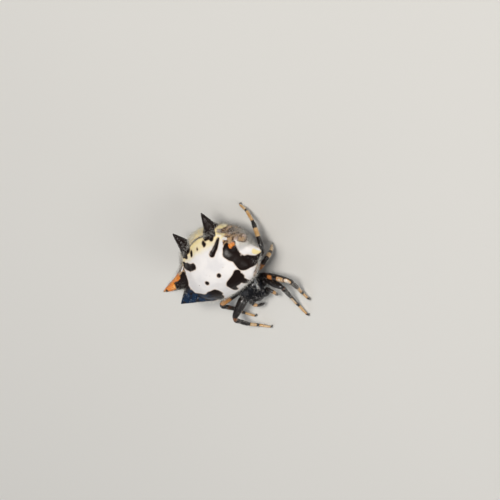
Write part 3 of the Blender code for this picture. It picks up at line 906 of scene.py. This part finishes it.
def build_carapace_hair(points, faces):
    def weight_of(spots):
        shoulder = np.exp(-((np.abs(spots[:, 0]) - 0.85) / 0.16) ** 2) * smoothstep(-3.9, -3.4, spots[:, 1])
        hair_and_highlight_streak = smoothstep(-0.15, 0.0, chain_field(spots, PALE_HAIR_AND_HIGHLIGHT_STREAK))
        return smoothstep(-1.95, -1.6, spots[:, 2]) * (0.10 + 0.6 * shoulder + 2.5 * hair_and_highlight_streak)
    spots, normals = scatter(points, faces, CARAPACE_HAIRS, weight_of)
    middle = np.array([0.0, (THORAX_BACK + HEAD_FRONT) / 2.0, -1.8])
    normals = np.where(((spots - middle) * normals).sum(1)[:, None] < 0, -normals, normals)
    ways = normals * 0.7 + np.array([0.0, -0.8, 0.0]) + RANDOM.normal(size=spots.shape) * 0.3
    lengths = RANDOM.uniform(0.12, 0.30, len(spots))
    widths = RANDOM.uniform(0.010, 0.016, len(spots))
    # hairs along the streak are white, pale hairs that also carry a painted highlight
    hair_and_highlight_streak = smoothstep(-0.10, 0.0, chain_field(spots, PALE_HAIR_AND_HIGHLIGHT_STREAK))
    tones = RANDOM.uniform(0.55, 1.0, len(spots)) * (1.0 - hair_and_highlight_streak)
    hairs("carapace_hair", spots, ways, lengths, widths, tones, body_uv(spots), "carapace")


# the radius of each eye, and how much its lens stands over it
EYE_RADII = {"front_median": 0.11, "rear_median": 0.11, "front_lateral": 0.09, "rear_lateral": 0.09}
LENS_GROWTH = 1.15


def build_eyes():
    """A lens over each eye, placed by the eye's box in the frame."""
    turns = np.linspace(0.0, np.pi, 20)
    up = np.array([(0.0, 0.0, 1.0)] * len(turns))
    for side in ("left", "right"):
        for place, eye_radius in EYE_RADII.items():
            node = "eye_" + place + "_" + side
            low, high = (np.array(corner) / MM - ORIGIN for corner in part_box(node))
            radius = eye_radius * LENS_GROWTH
            centres = [(low + high) / 2.0 + np.array([0.0, 0.0, -math.cos(t) * radius]) for t in turns]
            radii = [max(math.sin(t) * radius, 0.001) for t in turns]
            to_object(node + "_lens", *loft(tube(centres, radii, 24, up)), "eye_lens", "eye", (node,))


# sternum: where its middle lies, its half length and the gap above it, then the depth and width of
# each ring
STERNUM_Y = -2.84
STERNUM_HALF_LENGTH = 0.78
STERNUM_GAP = 0.06
STERNUM_SHAPE = ((0.0, 0.80), (0.05, 0.97), (0.2, 1.0), (0.4, 1.0), (0.55, 0.93), (0.62, 0.72), (0.64, 0.4))


def build_sternum():
    turns = circle(48)
    along = np.sin(turns)
    waist = 1.0 - 0.28 * np.maximum(along, 0.0)
    across = STERNUM_HALF_WIDTH * waist * np.sign(np.cos(turns)) * np.abs(np.cos(turns)) ** 0.6
    rings = []
    for depth, width in STERNUM_SHAPE:
        height = np.full(len(turns), CARAPACE_UNDERSIDE - STERNUM_GAP - depth)
        rings.append(np.stack([across * width, STERNUM_Y + along * width * STERNUM_HALF_LENGTH, height], 1))
    to_object("sternum_skin", *loft(np.array(rings)), "black_skin", "mouthparts", ("sternum",))


def build_pedicel():
    """The thin ringed waist between the abdomen and the front body."""
    start = np.array([0.0, -1.30, -1.90])
    end = np.array([0.0, THORAX_BACK - 0.15, -1.97])
    shares = np.linspace(0.0, 1.0, 14)
    centres = [start + (end - start) * s for s in shares]
    radii = 0.24 - 0.05 * np.sin(np.pi * shares) + 0.012 * np.sin(shares * 40.0)
    to_object("pedicel_skin", *loft(tube(centres, radii, 24)), "black_skin", "mouthparts", ("pedicel",))


# spinnerets: where they stand under the belly, how far down each width of their ring lies, and the
# length, radius, outward place and lean of the six cones
SPINNERET_Y = 0.55
SPINNERET_TOP = -BELLY_DEPTH + 0.10
SPINNERET_RING = ((0.0, 0.62), (0.12, 0.56), (0.22, 0.52), (0.34, 0.50), (0.40, 0.44), (0.46, 0.30))
SPINNERET_CONES = 6
CONE_LENGTH = 0.34
CONE_RADIUS = 0.12
CONE_PLACE = 0.22
CONE_LEAN = 0.08


def build_spinnerets():
    centres = [np.array([0.0, SPINNERET_Y, SPINNERET_TOP - depth]) for depth, _ in SPINNERET_RING]
    down = np.array([(0.0, 0.0, -1.0)] * len(centres))
    rings = tube(centres, [width for _, width in SPINNERET_RING], 32, down)
    to_object("spinneret_ring", *loft(rings), "black_skin", "mouthparts", ("spinnerets",))
    shares = np.linspace(0.0, 1.0, 8)
    for k in range(SPINNERET_CONES):
        turn = 2.0 * math.pi * (k + 0.5) / SPINNERET_CONES
        lean = np.array([math.cos(turn), math.sin(turn), 0.0])
        root = np.array([0.0, SPINNERET_Y, SPINNERET_TOP - 0.40]) + lean * CONE_PLACE
        centres = [root + np.array([0.0, 0.0, -CONE_LENGTH]) * s - lean * CONE_LEAN * s for s in shares]
        radii = CONE_RADIUS * np.sqrt(1.0 - shares ** 3 * 0.85)
        to_object("spinneret_" + str(k + 1), *loft(tube(centres, radii, 14)), "black_skin", "mouthparts")


# legs

def rounded_line(points, reaches, per):
    """Places along a line whose inner corners are rounded, and how many lengths along each lies."""
    points = np.asarray(points, float)
    places, marks = [], []
    for i in range(len(points) - 1):
        here, there = points[i], points[i + 1]
        length = np.linalg.norm(there - here)
        for t in np.linspace(0.0, 1.0, per, endpoint=i == len(points) - 2):
            spot = here + (there - here) * t
            for k, gone in ((i, t * length), (i + 1, -(1.0 - t) * length)):
                if 0 < k < len(points) - 1 and abs(gone) < reaches[k]:
                    u = 0.5 + 0.5 * gone / reaches[k]
                    before = points[k] - unit(points[k] - points[k - 1]) * reaches[k]
                    after = points[k] + unit(points[k + 1] - points[k]) * reaches[k]
                    spot = (1.0 - u) ** 2 * before + 2.0 * u * (1.0 - u) * points[k] + u * u * after
            places.append(spot)
            marks.append(i + t)
    return np.array(places), np.array(marks)


# radius of a leg at each share along it: coxa 0 to 1, femur to 2, patella and tibia to 3,
# metatarsus to 4, tarsus to 5 and its last bend down to 6
LEG_SHAPE = (
    (0.0, 0.22), (0.3, 0.26), (0.75, 0.25), (0.95, 0.19), (1.08, 0.20), (1.25, 0.255), (1.55, 0.27),
    (1.80, 0.245), (1.94, 0.20), (2.0, 0.175), (2.07, 0.20), (2.2, 0.23), (2.33, 0.215), (2.38, 0.18),
    (2.45, 0.20), (2.7, 0.205), (2.92, 0.185), (3.0, 0.135), (3.06, 0.16), (3.5, 0.150), (3.92, 0.150),
    (4.0, 0.105), (4.08, 0.125), (4.6, 0.110), (5.0, 0.085), (5.6, 0.060), (6.0, 0.035),
)

# how much thicker each leg is at these shares: at its root, in the coxa and femur and at the knee
GIRTH_PLACES = (0.0, 0.6, 1.2, 1.6, 1.9, 2.3)
LEG_GIRTH = {
    "left_1": (1.2, 1.3, 1.3, 1.25, 1.1, 1.0),
    "left_2": (1.2, 1.2, 1.1, 1.1, 1.1, 1.0),
    "left_3": (1.0, 1.0, 0.9, 0.9, 0.9, 1.0),
    "left_4": (1.0, 1.0, 1.1, 1.1, 1.1, 1.0),
    "right_1": (1.2, 1.9, 1.8, 1.40, 1.15, 1.0),
    "right_2": (1.3, 1.6, 1.3, 1.15, 1.1, 1.0),
}

# how pale a leg is along its length: 0 black, 1 amber
LEG_BANDS = {
    "left_1": (
        (2.02, 0), (2.06, 0.45), (2.14, 0.1), (2.9, 0.05), (3.02, 0.0), (3.08, 0.85), (3.7, 0.8),
        (3.8, 0.1), (4.02, 0.1), (4.1, 0.9), (4.7, 0.85), (4.9, 0.15), (6, 0),
    ),
    "left_2": (
        (0, 0), (1.20, 0.05), (1.28, 0.75), (1.38, 0.7), (1.46, 0.1), (1.56, 0.1), (1.62, 0.9), (1.80, 0.9),
        (1.84, 0.2), (1.89, 0.9), (2.06, 0.9), (2.16, 0.1), (2.3, 0.75), (2.42, 0.1), (2.8, 0.1),
        (2.98, 0.05), (3.06, 0.9), (3.6, 0.8), (3.75, 0.1), (4.0, 0.1), (4.08, 0.9), (4.5, 0.85),
        (4.75, 0.1), (6, 0),
    ),
    "left_3": (
        (0, 0.1), (1.0, 0.2), (1.3, 0.9), (1.65, 0.8), (1.8, 0.1), (2.3, 0.1), (2.4, 0.85), (2.7, 0.85),
        (2.8, 0.1), (3.02, 0.1), (3.1, 0.85), (3.8, 0.8), (3.95, 0.2), (4.1, 0.7), (4.8, 0.6),
        (5.0, 0.2), (6, 0),
    ),
    "left_4": (
        (2.36, 0), (2.42, 0.1), (2.46, 0.9), (2.72, 0.9), (2.78, 0.05), (3.02, 0.05), (3.1, 0.95),
        (3.84, 0.9), (3.9, 0.1), (4.02, 0.1), (4.1, 0.85), (4.85, 0.8), (5.0, 0.1), (6, 0),
    ),
    "right_1": (
        (0, 0), (1.84, 0.05), (1.96, 0.5), (2.1, 0.4), (2.2, 0.1), (2.9, 0.05), (3.02, 0.1), (3.08, 0.95),
        (3.65, 0.9), (3.8, 0.15), (4.02, 0.2), (4.1, 0.95), (4.9, 0.9), (5.0, 0.1), (6, 0),
    ),
    "right_2": (
        (0, 0), (1.42, 0.05), (1.54, 0.85), (1.88, 0.85), (1.97, 0.15), (2.4, 0.15), (2.5, 0.4), (2.8, 0.2),
        (3.02, 0.1), (3.1, 0.8), (3.6, 0.7), (3.8, 0.1), (4.02, 0.1), (4.1, 0.9), (4.8, 0.85),
        (5.0, 0.1), (6, 0),
    ),
}
for table in (LEG_GIRTH, LEG_BANDS):
    table["right_3"] = table["left_3"]
    table["right_4"] = table["left_4"]

# where a leg is orange, or milky with a painted highlight, rather than amber, and which lengths are pale on
# their upper side only, the leg's own stripes with a painted highlight along the top;
# other legs have such lengths at the end of the foot only. Past either end of a table its value stays.
PLAIN = ((0, 0), (6, 0))
LEG_ORANGE = {
    "left_2": ((0, 0), (1.1, 1), (1.5, 1), (1.7, 0)),
    "left_3": ((0, 0), (1.2, 0.8), (1.7, 0.8), (1.9, 0)),
    "right_1": ((0, 0), (1.8, 0.9), (2.2, 0.9), (2.4, 0)),
    "right_2": ((0, 0), (1.3, 0.5), (2.0, 0.5), (2.3, 0)),
}
LEG_MILKY_AND_HIGHLIGHT = {
    "left_1": ((2.9, 0), (3.1, 0.5), (3.7, 0.5), (3.9, 0)),
    "left_2": ((1.5, 0), (1.7, 0.9), (2.1, 0.9), (2.4, 0.5), (3.6, 0.3), (4, 0)),
}
LEG_STRIPES_AND_HIGHLIGHT = {"left_1": (3.1, 3.7), "left_2": (1.15, 2.9), "right_2": (1.4, 2.0)}
FOOT_ONLY = (6.0, 6.1)


def corner_reaches(corners):
    """How far each corner of a leg is rounded, kept clear of the next corner."""
    lengths = np.linalg.norm(np.diff(corners, axis=0), axis=1)
    reaches = []
    for k in range(len(corners)):
        reach = KNEE_REACH if k == 2 else JOINT_REACH
        if k > 1:
            reach = min(reach, REACH_SHARE * lengths[k - 1])
        if k < len(corners) - 2:
            reach = min(reach, REACH_SHARE * lengths[k])
        reaches.append(reach)
    return reaches


def marks_of_points(marks):
    """The mark of each point of a limb's skin, its two end points last."""
    return np.append(np.repeat(marks, LEG_SIDES), (marks[0], marks[-1]))


def limb_roots(rings, places, ring):
    """A random root on each given ring of a limb: its spoke, place and the ways outwards and ahead."""
    spoke = RANDOM.integers(0, LEG_SIDES, len(ring))
    roots = rings[ring, spoke]
    return spoke, roots, unit(roots - places[ring]), unit(np.gradient(places, axis=0))[ring]


def leg_uv(lane, turn, along):
    """Each leg has its own upright strip of the unwrap."""
    return np.stack([lane + turn * 0.11, along / 6.2], 1)


def build_leg(side, mirror, number, joints):
    name = side + "_" + str(number)
    foot_x, foot_y = joints[-1]
    corners = [(STERNUM_HALF_WIDTH, LEG_ROOT_Y[number], COXA_HEIGHT), *joints[:-1]]
    corners += [(foot_x, foot_y, FLOOR + FOOT_DROP), (foot_x, foot_y, FLOOR)]
    corners = np.array(corners) * np.array([mirror, 1.0, 1.0])
    places, marks = rounded_line(corners, corner_reaches(corners), 30)
    radii = at(marks, LEG_SHAPE) * np.interp(marks, GIRTH_PLACES, LEG_GIRTH[name])
    rings = tube(places, radii, LEG_SIDES)

    along = marks_of_points(marks)
    lift = np.append(((rings - places[:, None]) / radii[:, None, None])[:, :, 2].ravel(), (0.0, 0.0))
    # on the listed lengths only the upper side stays pale and the sides go dark: the leg's own stripes, with
    # a painted highlight along the top
    first, last = LEG_STRIPES_AND_HIGHLIGHT.get(name, FOOT_ONLY)
    striped_and_lit = smoothstep(first - 0.1, first + 0.05, along) * smoothstep(last + 0.1, last - 0.05, along)
    values = {
        "pale": at(along, LEG_BANDS[name]) * (1.0 - striped_and_lit * (1.0 - smoothstep(0.35, 0.70, lift))),
        "orange": at(along, LEG_ORANGE.get(name, PLAIN)),
        "milky": at(along, LEG_MILKY_AND_HIGHLIGHT.get(name, PLAIN)),
    }
    turn = np.append(np.tile(np.arange(LEG_SIDES) / LEG_SIDES, len(marks)), (0.0, 0.0))
    lane = (number - 1 + (0 if mirror > 0 else 4)) / 8.0
    nodes = ["leg_" + name + "_" + piece for piece in ("femur", "tibia", "metatarsus", "tarsus")]
    uv = leg_uv(lane, turn, along)
    to_object("leg_" + name + "_skin", *loft(rings), "leg_skin", "banded_leg", nodes, values, uv)
    build_leg_hair(name, lane, rings, places, marks)


def build_leg_hair(name, lane, rings, places, marks):
    ring = RANDOM.choice(np.arange(20, len(marks) - 8), LEG_HAIRS)
    spoke, roots, outward, ahead = limb_roots(rings, places, ring)
    stand = RANDOM.uniform(0.5, 1.1, (LEG_HAIRS, 1))
    ways = ahead + outward * stand + RANDOM.normal(size=(LEG_HAIRS, 3)) * 0.15
    lengths = RANDOM.uniform(0.10, 0.26, LEG_HAIRS) * np.interp(marks[ring], (0, 3, 6), (1.0, 1.0, 0.6))
    widths = RANDOM.uniform(0.009, 0.015, LEG_HAIRS)
    shade = at(marks[ring], LEG_BANDS[name])
    tones = np.clip(RANDOM.uniform(0.0, 0.9, LEG_HAIRS) * (1.2 - shade), 0.0, 1.0)
    uv = leg_uv(lane, spoke / LEG_SIDES, marks[ring])
    hairs("leg_" + name + "_hair", roots, ways, lengths, widths, tones, uv, "banded_leg")


# the left jaw from its top to its end, how far it bulges forwards and its radius at each share
JAW_TOP = (0.41, -4.16, CARAPACE_UNDERSIDE + 0.05)
JAW_END = (0.37, -4.42, -3.22)
JAW_BULGE = 0.10
JAW_SHAPE = ((0.0, 0.30), (0.15, 0.35), (0.45, 0.36), (0.8, 0.29), (0.95, 0.20), (1.0, 0.08))

# the left fang: its root, the place it bends towards, its tip and its radius at the root and the tip
FANG_ROOT = (0.35, -4.44, -3.20)
FANG_BEND = (0.36, -4.46, -3.52)
FANG_TIP = (0.14, -4.18, -3.66)
FANG_RADIUS = 0.11
FANG_TIP_RADIUS = 0.012

# the left palp: its corners and their rounding, its radius and how pale it is along its lengths
PALP_CORNERS = ((0.84, -4.08, -2.50), (1.27, -4.59, -2.32), (1.15, -5.00, -2.72), (0.82, -5.20, -3.22))
PALP_REACHES = (0.14, 0.14, 0.14, 0.14)
PALP_SHAPE = ((0.0, 0.14), (0.5, 0.18), (0.95, 0.13), (1.05, 0.15), (1.5, 0.17), (1.95, 0.12),
              (2.05, 0.13), (2.5, 0.15), (2.85, 0.10), (3.0, 0.03))
PALP_BANDS = ((0, 0.05), (1.0, 0.1), (1.1, 0.6), (1.6, 0.7), (1.8, 0.1), (2.1, 0.2), (2.3, 0.1), (3.0, 0.0))


def build_jaw(side, flip):
    top, end = np.array(JAW_TOP) * flip, np.array(JAW_END) * flip
    shares = np.linspace(0.0, 1.0, 24)
    bulge = np.array([0.0, -JAW_BULGE, 0.0])
    centres = [top + (end - top) * s + bulge * math.sin(math.pi * s) for s in shares]
    rings = tube(centres, at(shares, JAW_SHAPE), 28)
    node = "chelicera_" + side
    to_object(node + "_skin", *loft(rings), "black_skin", "mouthparts", (node,))


def build_fang(side, flip):
    root, bend, tip = (np.array(place) * flip for place in (FANG_ROOT, FANG_BEND, FANG_TIP))
    shares = np.linspace(0.0, 1.0, 16)
    centres = [(1 - s) ** 2 * root + 2 * s * (1 - s) * bend + s * s * tip for s in shares]
    radii = FANG_RADIUS * (1.0 - shares) ** 0.8 + FANG_TIP_RADIUS
    node = "fang_" + side
    to_object(node + "_blade", *loft(tube(centres, radii, 14)), "fang_horn", "fang", (node,))


def build_palp(side, flip):
    places, marks = rounded_line(np.array(PALP_CORNERS) * flip, PALP_REACHES, 22)
    rings = tube(places, at(marks, PALP_SHAPE), LEG_SIDES)
    pale = at(marks_of_points(marks), PALP_BANDS)
    values = {"pale": pale, "orange": pale * 0.3, "milky": np.zeros(len(pale))}
    node = "palp_" + side
    to_object(node + "_skin", *loft(rings), "leg_skin", "mouthparts", (node,), values)

    ring = RANDOM.integers(4, len(marks) - 2, PALP_HAIRS)
    _, roots, outward, ahead = limb_roots(rings, places, ring)
    ways = ahead + outward * 0.8
    lengths = RANDOM.uniform(0.10, 0.22, PALP_HAIRS)
    widths = RANDOM.uniform(0.009, 0.014, PALP_HAIRS)
    tones = RANDOM.uniform(0.0, 0.9, PALP_HAIRS)
    hairs(node + "_hair", roots, ways, lengths, widths, tones, body_uv(roots), "mouthparts")


# floor, light and camera

def light(name, place, size, power, colour):
    """A square soft light that faces the spider."""
    data = bpy.data.lights.new(name, "AREA")
    data.size = size
    data.energy = power
    data.color = colour
    made = bpy.data.objects.new(name, data)
    made.location = place
    made.rotation_euler = (-Vector(place)).to_track_quat("-Z", "Y").to_euler()
    bpy.context.scene.collection.objects.link(made)


def build_stage():
    half = FLOOR_HALF_SIZE
    corners = [(-half, -half, 0), (half, -half, 0), (half, half, 0), (-half, half, 0)]
    mesh = bpy.data.meshes.new("floor")
    mesh.from_pydata(corners, [], [(0, 1, 2, 3)])
    mesh.materials.append(bpy.data.materials["floor_sheet"])
    floor = bpy.data.objects.new("floor", mesh)
    bpy.context.scene.collection.objects.link(floor)
    for name, (place, size, power, colour) in LIGHTS.items():
        light(name, place, size, power, colour)
    world = bpy.data.worlds.new("soft_sky")
    world.use_nodes = True
    sky = world.node_tree.nodes["Background"]
    sky.inputs["Color"].default_value = SKY_COLOUR
    sky.inputs["Strength"].default_value = SKY_STRENGTH
    bpy.context.scene.world = world
    bpy.context.scene.view_settings.view_transform = "Standard"


def build_camera():
    data = bpy.data.cameras.new("camera")
    data.lens = LENS
    data.sensor_width = SENSOR
    data.clip_start = 0.005
    data.clip_end = 3.0
    back = CAMERA_RIGHT.cross(CAMERA_UP).normalized()
    up = back.cross(CAMERA_RIGHT).normalized()
    right = up.cross(back)
    place = CAMERA_RIGHT * AIM_RIGHT + CAMERA_UP * AIM_UP + back * CAMERA_DISTANCE + Vector(ORIGIN)
    made = bpy.data.objects.new("camera", data)
    turn = Matrix((right, up, back)).transposed().to_4x4()
    made.matrix_world = Matrix.Translation(place * MM) @ turn
    bpy.context.scene.collection.objects.link(made)
    bpy.context.scene.camera = made


def main():
    for make_material in (shell_material, black_body_material, leg_material, hair_material,
                          eye_material, fang_material, floor_material):
        make_material()
    build_camera()
    build_stage()
    build_abdomen_hair(*build_abdomen())
    build_carapace_hair(*build_carapace())
    build_eyes()
    build_sternum()
    build_pedicel()
    build_spinnerets()
    for side, mirror, legs in (("left", 1, LEFT_LEGS), ("right", -1, RIGHT_LEGS)):
        flip = np.array([mirror, 1.0, 1.0])
        build_jaw(side, flip)
        build_fang(side, flip)
        build_palp(side, flip)
        for number, joints in legs.items():
            build_leg(side, mirror, number, joints)


main()
